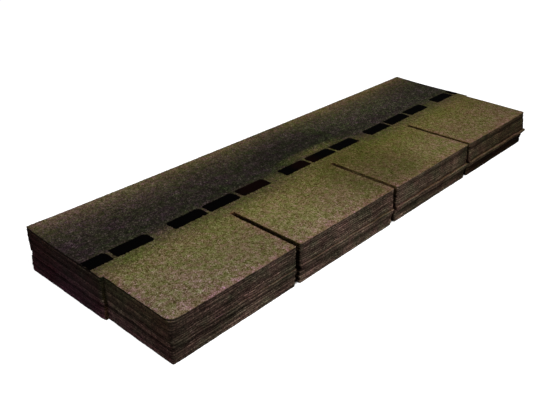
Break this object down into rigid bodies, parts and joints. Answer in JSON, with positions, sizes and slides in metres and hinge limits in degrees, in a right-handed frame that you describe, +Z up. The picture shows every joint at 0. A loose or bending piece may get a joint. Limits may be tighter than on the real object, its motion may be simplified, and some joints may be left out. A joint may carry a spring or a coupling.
{
  "type": "asphalt shingle bundle",
  "caption": "Flat bundle of slotted asphalt roofing shingles stacked face up, with olive granule tabs along the front, a dark headlap and a row of black seal pads.",
  "frame": {"origin": "middle of the bundle's box, on the floor under the lowest sheet", "axes": "+X along the sheets, -Y towards the tabs, +Z up through the bundle"},
  "size_m": [1.0034, 0.3428, 0.0711],
  "materials": {
    "granules": "mineral granules pressed into bitumen, olive on the tabs and charcoal on the headlap",
    "bitumen": "matt black printed bitumen"
  },
  "bodies": {
    "root": {"shingle_01": "granules", "shingle_02": "granules", "shingle_03": "granules", "shingle_04": "granules", "shingle_05": "granules", "shingle_06": "granules", "shingle_07": "granules", "shingle_08": "granules", "shingle_09": "granules", "shingle_10": "granules", "shingle_11": "granules", "shingle_12": "granules", "shingle_13": "granules", "shingle_14": "granules", "shingle_15": "granules", "shingle_16": "granules", "shingle_17": "granules", "shingle_18": "granules", "seal_pads_01": "bitumen", "seal_pads_02": "bitumen", "seal_pads_03": "bitumen", "seal_pads_04": "bitumen", "seal_pads_05": "bitumen", "seal_pads_06": "bitumen", "seal_pads_07": "bitumen", "seal_pads_08": "bitumen", "seal_pads_09": "bitumen", "seal_pads_10": "bitumen", "seal_pads_11": "bitumen", "seal_pads_12": "bitumen", "seal_pads_13": "bitumen", "seal_pads_14": "bitumen", "seal_pads_15": "bitumen", "seal_pads_16": "bitumen", "seal_pads_17": "bitumen", "seal_pads_18": "bitumen"}
  },
  "joints": []
}
